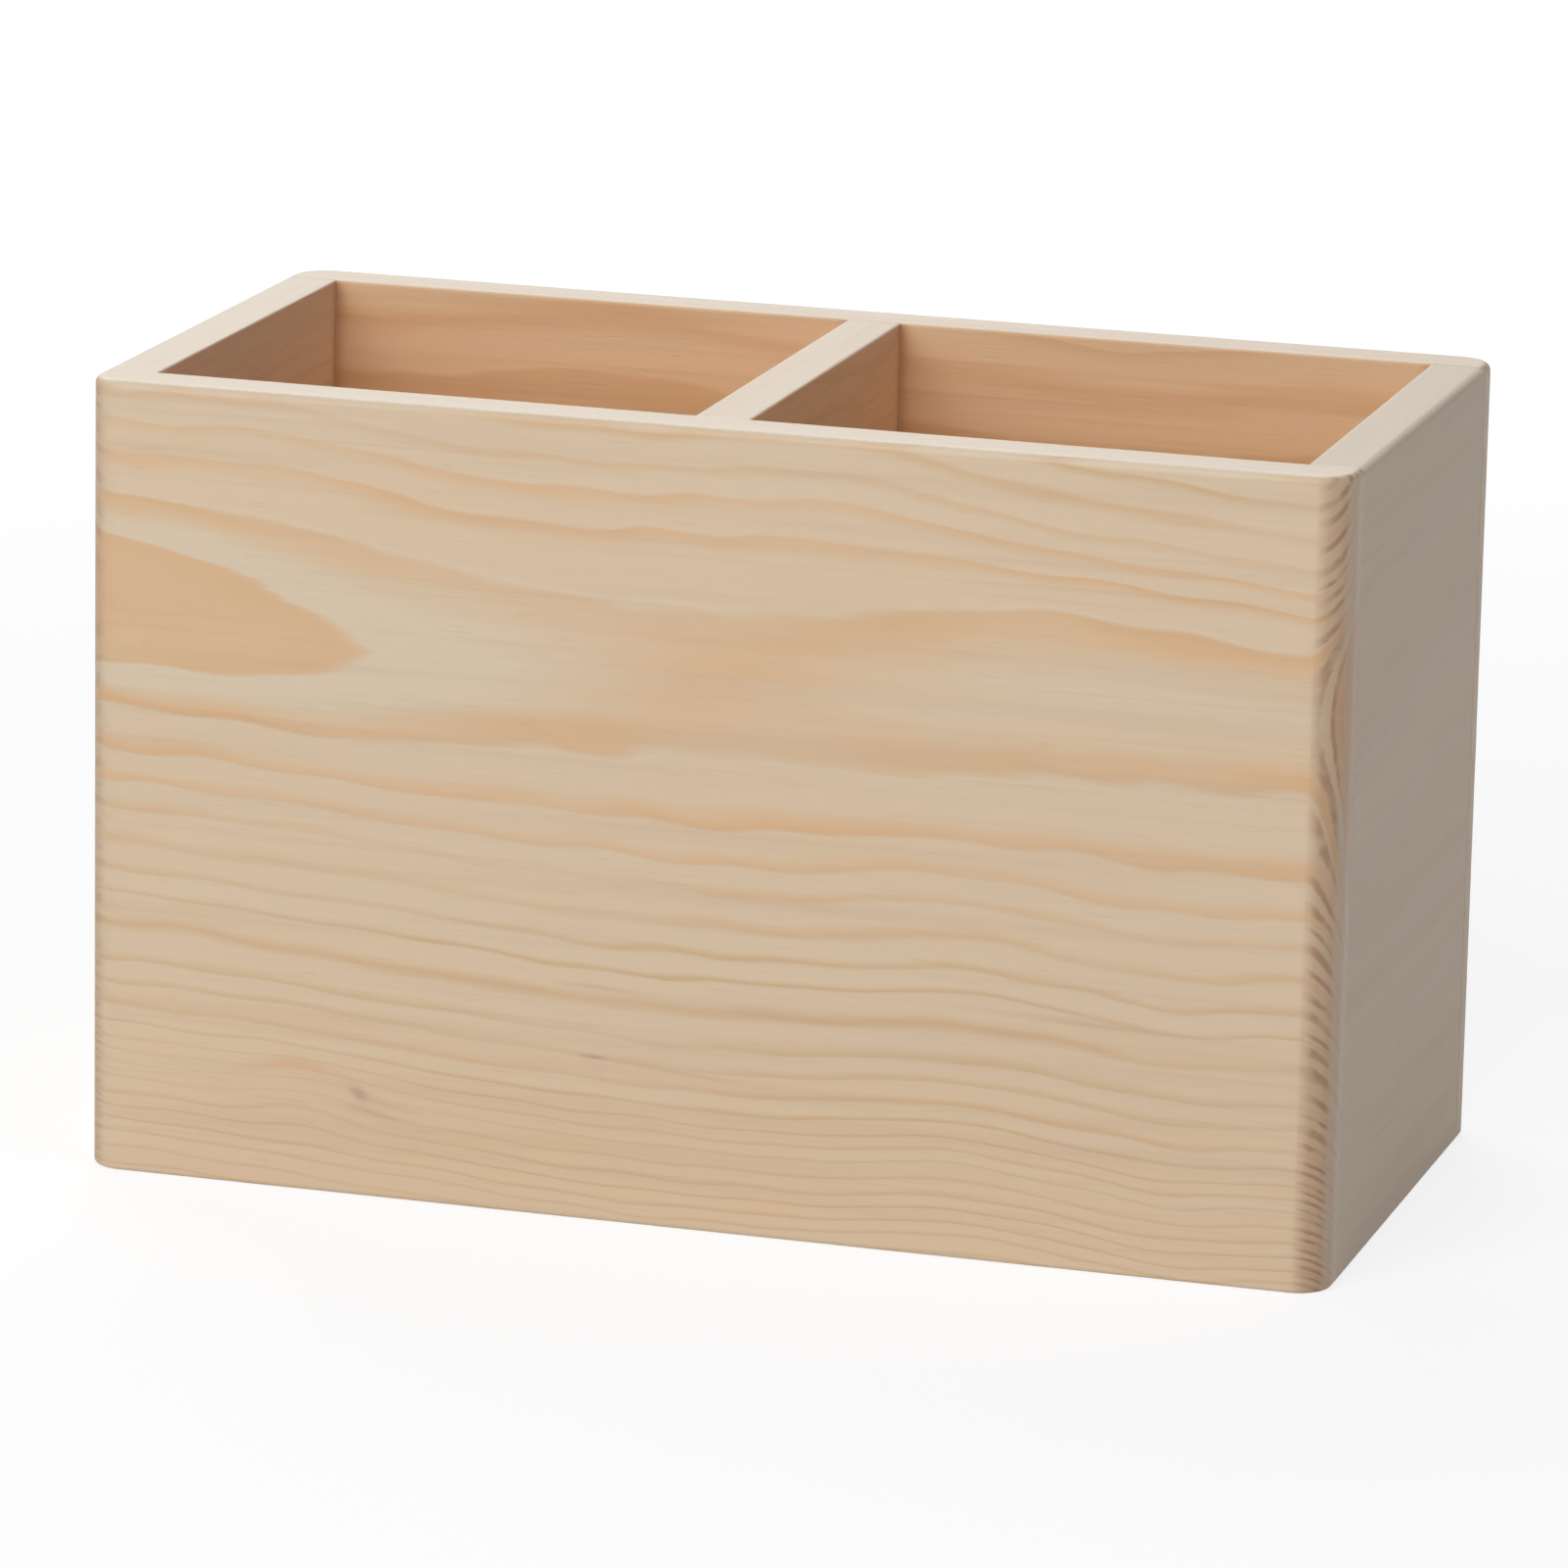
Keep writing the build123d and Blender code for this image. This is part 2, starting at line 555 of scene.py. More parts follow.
# Each board's share of warm wood inside is painted warm bounce light and shade; the right end board's
# share of greyer wood is painted shade
GRAINS = {
    "front_board": Grain(
        axes=LONG_WALL, pith=(10.0, 73.0), first_ring=50.92, sway=front_sway,
        swellings=((-51, 12, 8, 4.5, 1.4),), width=1.85, growth=((8.0, -0.124), (20.0, 0.29)),
        flame=front_flame, bow=front_bow, heart=0.80,
    ),
    "back_board": Grain(
        axes=LONG_WALL, pith=(-16.0, 70.0), first_ring=48.6, sway=plain_sway(-0.03, 3.2),
        swellings=((-20, 60, 12, 6, 0.9),), width=3.9, growth=((10.0, 0.25),),
        painted_bounce=0.68, streaks=0.55,
    ),
    "left_end_board": Grain(
        axes=CROSS_BOARD, pith=(-20.0, 38.0), first_ring=53.6, sway=plain_sway(0.03, 2.2),
        swellings=((12, 70, 10, 5, 0.7),), width=1.9, painted_bounce=0.28, contrast=0.6,
    ),
    # The right end board stands on the shaded side: its greyer wood is painted shade
    "right_end_board": Grain(
        axes=CROSS_BOARD, pith=(132.0, 60.0), first_ring=52.5, sway=plain_sway(0.04, 0.3),
        swellings=((-8, 26, 11, 6, 0.8),), width=2.2, contrast=0.35, rough=0.09, dull_and_shade=0.35,
    ),
    "divider": Grain(
        axes=CROSS_BOARD, pith=(46.0, 118.0), first_ring=44.0, sway=plain_sway(-0.03, 4.0),
        swellings=((5, 50, 10, 6, 0.8),), width=2.0, painted_bounce=0.85, contrast=0.6, rough=0.03,
    ),
    "bottom_panel": Grain(
        axes=FLAT_PANEL, pith=(-46.0, 6.0), first_ring=56.4, sway=plain_sway(0.02, 5.1),
        swellings=((30, -15, 12, 6, 0.9),), width=2.0, painted_bounce=0.4,
    ),
}

# Marks of the front board: place along and up, tilt, bend, width, height, share and colour
FRONT_MARKS = (
    (-51.5, 16.3, -0.02, -0.03, 6.5, 0.8, 0.42, "honey"),
    (-43.5, 13.2, -0.40, 0.0, 1.2, 0.8, 0.36, "knot"),
    (-41.5, 10.8, -0.15, 0.0, 4.0, 0.5, 0.20, "knot"),
    (-40.0, 12.2, -0.20, 0.0, 4.0, 0.4, 0.16, "knot"),
    (-13.0, 21.0, -0.05, 0.0, 1.6, 0.25, 0.40, "knot"),
    (-4.0, 20.3, -0.09, 0.0, 9.0, 0.3, 0.40, "ring_edge"),
    (-12.5, 29.9, -0.03, 0.0, 5.0, 0.3, 0.40, "ring_edge"),
    (51.0, 31.2, -0.03, 0.0, 11.0, 0.4, 0.45, "ring_edge"),
)
AXIS_VECTORS = ((1.0, 0.0, 0.0), (0.0, 1.0, 0.0), (0.0, 0.0, 1.0))


# Finishes


def new_finish(name):
    """A node material and its empty tree."""
    material = bpy.data.materials.new(name)
    material.use_nodes = True
    return material, Finish(material.node_tree)


def close_finish(finish, colour, roughness, height, strength, distance):
    """Set a Principled shader on the material's output, with a bump from the height."""
    relief = {"Height": height, "Strength": strength, "Distance": distance}
    bump = finish.node("ShaderNodeBump", relief)
    surface = {"Base Color": colour, "Roughness": roughness, "Normal": bump.outputs[0]}
    shader = finish.node("ShaderNodeBsdfPrincipled", surface)
    finish.node("ShaderNodeOutputMaterial", {"Surface": shader.outputs[0]})


def opaque(colour):
    """A property's colour with full opacity."""
    return (colour[0], colour[1], colour[2], 1.0)


def stretched(axis, along, across):
    """Cells per metre of a noise that runs along one axis."""
    return tuple(along if index == axis else across for index in range(3))


def end_shares(lean):
    """Shares of open end grain and of a flat end, by a face's lean towards the run of the fibres.

    Open end grain shows where a corner turns. Its larger share at the axis's far end is painted shade,
    as that corner turns from the key lamp. A flat end keeps a fifth of it.
    """
    flat_end = smooth(0.76, 0.93, size_of(lean))
    open_end_and_shade = smooth(0.0, 0.50, lean) + 0.6 * smooth(0.35, 0.80, -lean)
    return open_end_and_shade * (1 - 0.80 * flat_end), flat_end


def inside_share(place):
    """Share of the box's inside: 0 by its outer faces, 1 from deeper in the walls on."""
    to_end = CAD_BOX[1][0] * MM - size_of(place[0])
    to_face = CAD_BOX[1][1] * MM - size_of(place[1])
    return smooth(3.0, 5.5, to_end.finish.maths("MINIMUM", to_end, to_face))


def mark_share(along, up, at_along, at_up, tilt, bend, wide, tall, share):
    """Share of a mark: a bell along its tilted and bent line, times a bell across it."""
    past = along - at_along
    line = up - past * (past * bend + tilt)
    return share * bell(past, 0.0, wide) * bell(line, at_up, tall)


def pine_finish(name, grain, look, joints=(), marks=()):
    """Sanded pine: early wood under coats of colour, each with its share of the surface.

    The coats are heart, summer wood and its dark edge, the tone of the years, painted warm bounce
    light and shade inside, fibres, streaks, resin, greyer wood as painted shade on the right end
    board and flat ends, a painted sheen on the rim, end grain with painted shade on its far corners,
    seams and marks. Joints are distances from the middle, along the board, where other boards meet
    it on the inside.
    """
    material, finish = new_finish(name)
    tint = {key: opaque(getattr(look, key)) for key in look.__annotations__ if key != "roughness"}
    spot = finish.node("ShaderNodeTexCoord").outputs["Object"]
    parts = finish.node("ShaderNodeSeparateXYZ", {0: spot})
    place = [Value(finish, output) * MM for output in parts.outputs]
    run = grain.axes[0]

    # Rings, and noises along the fibres
    wander = finish.noise(spot, stretched(run, 16.0, 420.0), 2.0, 1.3) - 0.5
    count = grain.rings(place) + 0.24 * wander
    late, edge, heart = grain.late_wood(count)
    fade = 0.55 + 0.45 * smooth(0.35, 0.60, finish.noise(spot, stretched(run, 20.0, 70.0), 1.0, 6.4))
    fibre = finish.noise(spot, stretched(run, 14.0, 1100.0), 3.0)
    cloud = finish.noise(spot, stretched(run, 9.0, 45.0), 2.0, 3.7)
    resin = smooth(0.66, 0.74, finish.noise(spot, stretched(run, 150.0, 1700.0), 1.0, 8.1))
    streaky = smooth(0.44, 0.72, finish.noise(spot, stretched(run, 9.0, 330.0), 3.0, 4.9))
    broken = smooth(0.30, 0.60, finish.noise(spot, (420.0, 420.0, 420.0), 1.0, 2.2))
    stroke = smooth(-0.2, 0.9, sine(count * (3 * math.pi))) * (0.35 + 0.65 * broken)

    # Ends, rim and inside
    facing = finish.node("ShaderNodeNewGeometry").outputs["Normal"]
    # Open end grain, with painted shade on the corners at the axis's far end
    end, flat_end = end_shares(finish.along(facing, AXIS_VECTORS[run]))
    # Painted sheen: where the rim faces up it is paled, and its warm coats are cut back
    rim = smooth(0.35, 0.85, finish.along(facing, AXIS_VECTORS[2])) * smooth(90.0, 96.0, place[2])
    below_rim = 1 - 0.75 * rim
    inside = inside_share(place)
    # Painted warm bounce light and shade inside the box, stronger deeper down
    deep = inside * (grain.painted_bounce + 0.25 - 0.25 * smooth(84.0, 99.0, place[2])) * below_rim

    # Coats of colour, each a share and what it is laid on with
    summer = finish.mix(0.25 + 0.75 * smooth(1.5, 5.0, count), tint["warm"], tint["late"])
    coats = [
        (heart * fade, tint["warm"]),
        (late * fade, summer),
        (edge * fade * (0.16 + 0.30 * smooth(3, 10, count)) + 0.15 * heart, tint["ring_edge"]),
        ((smooth(0.45, 0.75, cloud) * 0.10 + grain.tone(count)) * below_rim, tint["warm"]),
        # Painted warm bounce light inside the box, most on the late wood
        (deep, tint["inner"]),
        (deep * (0.06 + 0.60 * late), tint["honey"]),
        (0.20 * smooth(0.48, 0.80, fibre), tint["ring_edge"]),
        (0.18 * streaky, tint["ring_edge"]),
        (streaky * inside * grain.streaks, tint["honey"]),
        (0.12 * resin * (1 - end), tint["ring_edge"]),
        # Painted shade: greyer wood on the shaded right end board and on flat ends
        (grain.dull_and_shade + 0.30 * flat_end, tint["dull_and_shade"]),
        # Painted sheen on the rim
        (0.5 * rim, tint["sanded"]),
        # End grain, with painted shade on its far corners
        (end * (0.52 + 0.48 * stroke), tint["end_grain"]),
    ]
    for joint in joints:
        line = bell(size_of(place[run]), joint, 1.1)
        coats.append((0.5 * line * inside * (1 - rim), tint["seam"]))
    for *mark, shade in marks:
        coats.append((mark_share(place[run], place[grain.axes[2]], *mark), tint[shade]))
    colour = tint["early"]
    for share, coat in coats:
        colour = finish.mix(share, colour, coat)

    roughness = look.roughness + grain.rough - 0.08 * late + 0.14 * end + 0.08 * fibre
    height = 0.5 * late + 0.6 * fibre - 0.3 * resin
    close_finish(finish, colour, roughness, height, strength=0.22, distance=0.0002)
    return material


def beech_finish(name, look):
    """Turned beech: a warm ground with short dark rays and darker clouds along the pin."""
    material, finish = new_finish(name)
    spot = finish.node("ShaderNodeTexCoord").outputs["Object"]
    ray = smooth(0.55, 0.70, finish.noise(spot, stretched(1, 350.0, 3000.0), 1.0))
    cloud = finish.noise(spot, stretched(1, 40.0, 500.0), 2.0, 5.3)
    colour = finish.mix(ray * 0.7, opaque(look.wood), opaque(look.fleck))
    colour = finish.mix(smooth(0.4, 0.8, cloud) * 0.3, colour, opaque(look.fleck))
    close_finish(finish, colour, 0.55 + 0.12 * cloud, cloud - 0.4 * ray, strength=0.2, distance=0.0001)
    return material


# Boards as blocks of cells, in millimetres

# Points this close to a plane lie in it
IN_PLANE = 0.001
# Heights over which the roundings of the rim and of the foot die out
RIM_BAND = 3.0
FOOT_BAND = 2.0
# Width of the cells round a dowel hole that give way to it
HOLE_PATCH = 0.7
# Distances from a mouth, an inner corner and a row of pins at which cells change their width
MOUTH_CELLS = 0.8
CORNER_CELLS = 0.5
CORNER_LINE = 0.25
PIN_CELLS = 2.2
# Distance of a joint's outer pins from the rim and from the floor
PIN_MARGIN = 12.0
PANEL_CHAMFER = 0.4
# Distance from an inner corner at which a joint's face starts
JOINT_INSET = 0.2
# Height under the rim over which a joint's edge shows
JOINT_SHOWS = 0.5
# Edges that turn by more than this are shaded sharp
SHARP_TURN = math.radians(32)


def steps(start, *runs):
    """Positions from start through each (end, count) run, evenly spaced within a run."""
    stops = [np.array([float(start)])]
    for end, count in runs:
        stops.append(np.linspace(stops[-1][-1], end, count + 1)[1:])
    return np.concatenate(stops)


def both_ways(half):
    """The positions of one half, from 0 outwards, and their mirror image."""
    return np.concatenate([-half[:0:-1], half])


def middles(positions):
    """Middle of each cell between positions."""
    return (positions[1:] + positions[:-1]) / 2


def skin(points, solid=True):
    """Skin of a block of cells: each side between a filled cell and an empty one, turned outwards.

    It comes as points, quads and an empty list of triangles.
    """
    corners = np.arange(points[..., 0].size).reshape(points.shape[:3])
    cells = [count - 1 for count in corners.shape]
    filled = np.pad(np.broadcast_to(solid, cells), 1).astype(int)
    faces = []
    for axis in range(3):
        order = [axis, (axis + 1) % 3, (axis + 2) % 3]
        change = np.diff(filled.transpose(order)[:, 1:-1, 1:-1], axis=0)
        grid = corners.transpose(order)
        sides = np.stack([grid[:, :-1, :-1], grid[:, 1:, :-1], grid[:, 1:, 1:], grid[:, :-1, 1:]], -1)
        faces.append(sides[change < 0])
        faces.append(sides[change > 0][:, ::-1])
    used, numbers = np.unique(np.concatenate(faces), return_inverse=True)
    return points.reshape(-1, 3)[used], numbers.reshape(-1, 4), np.zeros((0, 3), int)


def rounding(radius, step, start=0):
    """Distances from the end of a quarter circle to stations on it, by degrees from its start."""
    return radius * (1 - np.sin(np.radians(np.arange(start, 91, step))))


def eased(radius, away):
    """Drop of a rounded edge of one radius at a distance from the edge: a quarter circle."""
    inside = np.clip(radius - away, 0, radius)
    return radius - np.sqrt(radius * radius - inside * inside)


def outline_distance(size, x, y):
    """Distance inwards from the rounded rectangle that is the box's outline."""
    radius = size.corner_radius
    past_x = np.abs(x) - (size.length / 2 - radius)
    past_y = np.abs(y) - (size.depth / 2 - radius)
    outside = np.hypot(np.maximum(past_x, 0), np.maximum(past_y, 0))
    return radius - outside - np.minimum(np.maximum(past_x, past_y), 0)


def mouth_distance(size, x, y):
    """Distance outwards from the nearer compartment's mouth, square at its corners."""
    side_x = np.maximum(np.abs(x) - size.inner_x, size.board / 2 - np.abs(x))
    side_y = np.abs(y) - size.inner_y
    return np.maximum(np.maximum(side_x, side_y), 0)


def upright_block(size, x, y, levels):
    """Points of an upright board over a plan of x and y: its rim is rounded and its foot eased.

    The level of a point is its own height, drawn down near the rim by the roundings of the outer
    edge and the mouth, and drawn up near the foot by the easing of the outer edge.
    """
    edge = outline_distance(size, x, y)
    drop = eased(size.rim_radius, edge) + eased(size.mouth_ease, mouth_distance(size, x, y))
    rise = eased(size.foot_ease, edge)
    near_rim = np.clip((levels - size.height) / RIM_BAND + 1, 0, 1)
    near_foot = np.clip(1 - levels / FOOT_BAND, 0, 1)
    z = levels - drop[..., None] * near_rim + rise[..., None] * near_foot
    return np.stack(np.broadcast_arrays(x[..., None], y[..., None], z), -1)


def groove_span(size):
    """Lower and upper height of the bottom panel's grooves."""
    return size.floor_level - size.floor_thickness, size.floor_level + size.groove_gap


def wall_levels(size):
    """Heights of the cells of a wall: fine at the foot, the groove and the rim."""
    low, top = groove_span(size)
    height = size.height
    return steps(0, (size.foot_ease, 3), (low, 6), (top, 8), (height - RIM_BAND, 200), (height, 8))


def wall_columns(size):
    """Distances of the cells of a wall from its outer face.

    They are fine at the rim's edges, and one of them lies at the groove's depth.
    """
    board = size.board
    groove = board - size.groove_depth
    ease = size.mouth_ease
    rim = rounding(size.rim_radius, 15)[::-1]
    inner = steps(rim[-1], (groove, 5), (board - MOUTH_CELLS, 3), (board - ease, 1))
    mouth = board - rounding(ease, 30, 30)
    return np.concatenate([rim, inner[1:], mouth])


def groove_cells(size, columns, levels):
    """Which cells, by column and level, the bottom panel's groove takes out of a wall."""
    in_depth = middles(columns) > size.board - size.groove_depth
    low, top = groove_span(size)
    in_height = (middles(levels) > low) & (middles(levels) < top)
    return in_depth[:, None] & in_height[None, :]


def pin_heights(size):
    """Heights of the three dowel pins of a joint."""
    middle = (size.height + size.floor_level) / 2
    pitch = (size.height - size.floor_level) / 2 - PIN_MARGIN
    return (middle - pitch, middle, middle + pitch)


def drill(points, quads, triangles, centre, inward, radius, depth):
    """Blind hole in a flat face.

    The cells round its centre give way to a ring of faces from their outline to the hole's circle.
    Then comes the hole's wall, and a fan of triangles closes its end.
    """
    centre = np.array(centre, float)
    inward = np.array(inward, float)
    up = np.array((0.0, 0.0, 1.0))
    across = np.cross(inward, up)
    away = points - centre
    right, high = away @ across, away @ up
    flat = np.abs(away @ inward) < IN_PLANE
    reach = radius + HOLE_PATCH
    near = (np.abs(right[quads].mean(1)) < reach) & (np.abs(high[quads].mean(1)) < reach)
    gone = near & flat[quads].all(1)
    outline = np.intersect1d(quads[gone], quads[~gone])
    angle = np.arctan2(high[outline], right[outline])
    order = np.argsort(angle)
    outline, angle = outline[order], angle[order]
    mouth = centre + radius * (np.cos(angle)[:, None] * across + np.sin(angle)[:, None] * up)
    end = mouth + depth * inward
    first = len(points)
    count = len(outline)
    mouth_numbers = first + np.arange(count)
    end_numbers = mouth_numbers + count
    middle = np.full(count, first + 2 * count)
    next_mouth, next_end = np.roll(mouth_numbers, -1), np.roll(end_numbers, -1)
    ring = np.stack([outline, np.roll(outline, -1), next_mouth, mouth_numbers], -1)
    wall = np.stack([mouth_numbers, next_mouth, next_end, end_numbers], -1)
    fan = np.stack([end_numbers, next_end, middle], -1)
    points = np.concatenate([points, mouth, end, (centre + depth * inward)[None]])
    return points, np.concatenate([quads[~gone], ring, wall]), np.concatenate([triangles, fan])


def drill_joint(size, faces, x, side, inward, depth):
    """Dowel holes of the joint at x, on the front side, which is -1, or the back side, which is 1."""
    for pin_z in pin_heights(size):
        mouth = (x, side * size.inner_y, pin_z)
        faces = drill(*faces, mouth, (0, inward, 0), size.pin_radius, depth)
    return faces


def tidy_numbers(points, quads, triangles):
    """Drop the points that no face uses any more."""
    used, numbers = np.unique(np.concatenate([quads.ravel(), triangles.ravel()]), return_inverse=True)
    return points[used], numbers[: quads.size].reshape(-1, 4), numbers[quads.size :].reshape(-1, 3)


def in_joint(size, points):
    """Which points lie in the planes where the cross boards meet the front and back boards."""
    flat = np.abs(np.abs(points[:, 1]) - size.inner_y) < IN_PLANE
    x = np.abs(points[:, 0])
    return flat & ((x > size.inner_x + JOINT_INSET) | (x < size.board / 2 - JOINT_INSET))


def sanded_depth(size, points, grain, joint):
    """How far each point lies below the planed face.

    Early wood lies a hair below late wood. The faces of the joints stay flat, but for their edges
    that show, which are eased to a hairline.
    """
    late, edge, heart = grain.late_wood(grain.rings(points.T))
    relief = size.grain_relief * (1 - np.clip(late + edge + heart, 0, 1))
    low, high = points.min(0), points.max(0)
    at_end = (points[:, 0] < low[0] + IN_PLANE) | (points[:, 0] > high[0] - IN_PLANE)
    shows = at_end | (points[:, 2] > high[2] - JOINT_SHOWS)
    return np.where(joint, np.where(shows, size.seam_ease, 0.0), relief)


def make_piece(name, node, faces, size, material, joined=True):
    """Make a mesh of a board's points and faces, sand it along its normals and put it on the frame."""
    points, quads, triangles = tidy_numbers(*faces)
    mesh = bpy.data.meshes.new(name)
    mesh.vertices.add(len(points))
    mesh.vertices.foreach_set("co", (points / MM).astype(np.float32).ravel())
    corners = np.concatenate([quads.ravel(), triangles.ravel()])
    mesh.loops.add(len(corners))
    mesh.loops.foreach_set("vertex_index", corners.astype(np.int32))
    counts = np.concatenate([np.full(len(quads), 4), np.full(len(triangles), 3)])
    mesh.polygons.add(len(counts))
    mesh.polygons.foreach_set("loop_start", (np.cumsum(counts) - counts).astype(np.int32))
    mesh.update(calc_edges=True)
    normals = np.empty(3 * len(points), np.float32)
    mesh.vertex_normals.foreach_get("vector", normals)
    depth = sanded_depth(size, points, GRAINS[node], joined & in_joint(size, points))
    points = points - depth[:, None] * normals.reshape(-1, 3)
    mesh.vertices.foreach_set("co", (points / MM).astype(np.float32).ravel())
    mesh.update()
    mesh.shade_smooth()
    mesh.set_sharp_from_angle(angle=SHARP_TURN)
    mesh.materials.append(material)
    piece = bpy.data.objects.new(name, mesh)
    bpy.context.scene.collection.objects.link(piece)
    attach(piece, "root")
    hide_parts(node)
    return piece


def face_board(size, turn):
    """Front board, or with a turn of -1 the back board.

    A plan of stations along the length and columns through the thickness, whose outer line follows
    the rounded corners, is carried up the levels. Stations are close at the joints and the corners.
    """
    half, inner, board, radius = size.length / 2, size.inner_x, size.board, size.corner_radius
    straight = steps(
        0, (PIN_CELLS, 4), (board / 2 - CORNER_LINE, 1), (board / 2, 2), (inner - CORNER_CELLS, 38),
        (inner, 1), (inner + CORNER_LINE, 2), (inner + board / 2 - PIN_CELLS, 1), (half - radius, 2),
    )
    corner = half - rounding(radius, 7.5, 7.5)
    groove_end = [inner + size.groove_depth]
    stations = both_ways(np.sort(np.concatenate([straight, groove_end, corner])))
    columns = wall_columns(size)
    levels = wall_levels(size)
    past = np.clip(np.abs(stations) - (half - radius), 0, radius)
    outer = radius - np.sqrt(radius * radius - past * past) - size.depth / 2
    y = outer[:, None] + (-size.inner_y - outer)[:, None] * columns / board
    x = np.broadcast_to(stations[:, None], y.shape)
    points = upright_block(size, x, y, levels) * (turn, turn, 1)
    grooved = np.abs(middles(stations)) < inner + size.groove_depth
    faces = skin(points, ~(grooved[:, None, None] & groove_cells(size, columns, levels)))
    for pin_x in (-(half - board / 2), 0, half - board / 2):
        faces = drill_joint(size, faces, pin_x, -turn, -turn, size.pin_seat)
    return faces


def cross_stations(size):
    """Stations across the box, from back to front, of the end boards and the divider."""
    half = size.inner_y
    return both_ways(steps(0, (half - CORNER_CELLS, 18), (half - CORNER_LINE, 1), (half, 2)))[::-1]


def drill_ends(size, faces, x):
    """Dowel holes in both ends of the cross board that stands at x."""
    for side in (-1, 1):
        faces = drill_joint(size, faces, x, side, -side, size.pin_reach)
    return faces


def end_board(size, turn):
    """Left end board, or with a turn of -1 the right one: a straight plan carried up the levels."""
    columns = wall_columns(size)
    levels = wall_levels(size)
    y, x = np.meshgrid(cross_stations(size), columns - size.length / 2, indexing="ij")
    points = upright_block(size, x, y, levels) * (turn, turn, 1)
    faces = skin(points, ~groove_cells(size, columns, levels))
    return drill_ends(size, faces, turn * (size.board - size.length) / 2)


def divider_board(size):
    """Divider: a straight plan, eased at both mouths, carried up from the floor."""
    half, ease, height = size.board / 2, size.mouth_ease, size.height
    mouth = half - rounding(ease, 30)
    columns = both_ways(np.concatenate([steps(0, (half - MOUTH_CELLS, 4)), mouth]))
    levels = steps(size.floor_level, (height - RIM_BAND, 200), (height, 8))
    y, x = np.meshgrid(cross_stations(size), columns, indexing="ij")
    return drill_ends(size, skin(upright_block(size, x, y, levels)), 0.0)


def bottom_board(size):
    """Bottom panel: a rectangle of cells, its upper and lower edges chamfered towards the outline."""
    low, high = (np.array(corner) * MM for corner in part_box("bottom_panel"))
    half_x, half_y = high[0], high[1]
    x, y = np.meshgrid(
        both_ways(steps(0, (half_x - PANEL_CHAMFER, 44), (half_x, 1))),
        both_ways(steps(0, (half_y - PANEL_CHAMFER, 90), (half_y, 1))),
        indexing="ij",
    )
    levels = np.array((-1.0, 0.0, 1.0))
    to_edge = np.minimum(half_x - np.abs(x), half_y - np.abs(y))
    cut = np.clip(PANEL_CHAMFER - to_edge, 0, PANEL_CHAMFER)
    half_z = (high[2] - low[2]) / 2
    z = (low[2] + high[2]) / 2 + levels * (half_z - cut)[..., None]
    return skin(np.stack(np.broadcast_arrays(x[..., None], y[..., None], z), -1))


# Operators, one for each piece or group of like pieces


class PINEBOX_OT_face_boards(Operator):
    """Make the front and back boards"""

    bl_idname = "pinebox.face_boards"
    bl_label = "Front and back boards"

    def execute(self, context):
        size = box_sizes(context.scene.pinebox_sizes)
        look = context.scene.pinebox_pine
        joints = (size.inner_x, size.board / 2)
        front = pine_finish("front_pine", GRAINS["front_board"], look, joints, FRONT_MARKS)
        back = pine_finish("back_pine", GRAINS["back_board"], look, joints)
        board = make_piece("front_board_pine", "front_board", face_board(size, 1), size, front)
        board = make_piece("back_board_pine", "back_board", face_board(size, -1), size, back)
        return {"FINISHED"}


class PINEBOX_OT_end_boards(Operator):
    """Make the left and right end boards"""

    bl_idname = "pinebox.end_boards"
    bl_label = "End boards"

    def execute(self, context):
        size = box_sizes(context.scene.pinebox_sizes)
        look = context.scene.pinebox_pine
        joints = (size.inner_y,)
        left = pine_finish("left_end_pine", GRAINS["left_end_board"], look, joints)
        right = pine_finish("right_end_pine", GRAINS["right_end_board"], look, joints)
        faces = end_board(size, 1)
        board = make_piece("left_end_board_pine", "left_end_board", faces, size, left)
        faces = end_board(size, -1)
        board = make_piece("right_end_board_pine", "right_end_board", faces, size, right)
        return {"FINISHED"}


class PINEBOX_OT_divider(Operator):
    """Make the divider between the compartments"""

    bl_idname = "pinebox.divider"
    bl_label = "Divider"

    def execute(self, context):
        size = box_sizes(context.scene.pinebox_sizes)
        joints = (size.inner_y,)
        finish = pine_finish("divider_pine", GRAINS["divider"], context.scene.pinebox_pine, joints)
        faces = divider_board(size)
        board = make_piece("divider_pine", "divider", faces, size, finish)
        return {"FINISHED"}


class PINEBOX_OT_bottom_panel(Operator):
    """Make the bottom panel"""

    bl_idname = "pinebox.bottom_panel"
    bl_label = "Bottom panel"

    def execute(self, context):
        size = box_sizes(context.scene.pinebox_sizes)
        finish = pine_finish("bottom_pine", GRAINS["bottom_panel"], context.scene.pinebox_pine)
        faces = bottom_board(size)
        board = make_piece("bottom_panel_pine", "bottom_panel", faces, size, finish, joined=False)
        return {"FINISHED"}


class PINEBOX_OT_dowels(Operator):
    """Finish the dowel pins of the frame in beech"""

    bl_idname = "pinebox.dowels"
    bl_label = "Dowel pins"

    def execute(self, context):
        finish = beech_finish("dowel_beech", context.scene.pinebox_dowels)
        for name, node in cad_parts.items():
            if name.startswith("dowels_"):
                node.data.materials.clear()
                node.data.materials.append(finish)
        return {"FINISHED"}


# Stage, in metres

WHITE = (1.0, 1.0, 1.0, 1.0)
FLOOR_REACH = 4.0
FLOOR_DROP = 0.00005
SENSOR = 36.0
# Each lamp's setting of power, its width, its place, the height that it looks at and its tint's setting
LAMPS = {
    "key_lamp": ("key", 1.5, (-0.32, -1.46, 0.95), 0.05, None),
    "fill_lamp": ("fill", 1.0, (1.2, -0.30, 0.95), 0.05, "cool"),
    "back_lamp": ("back", 1.6, (-0.9, 1.4, 1.5), 0.10, None),
}


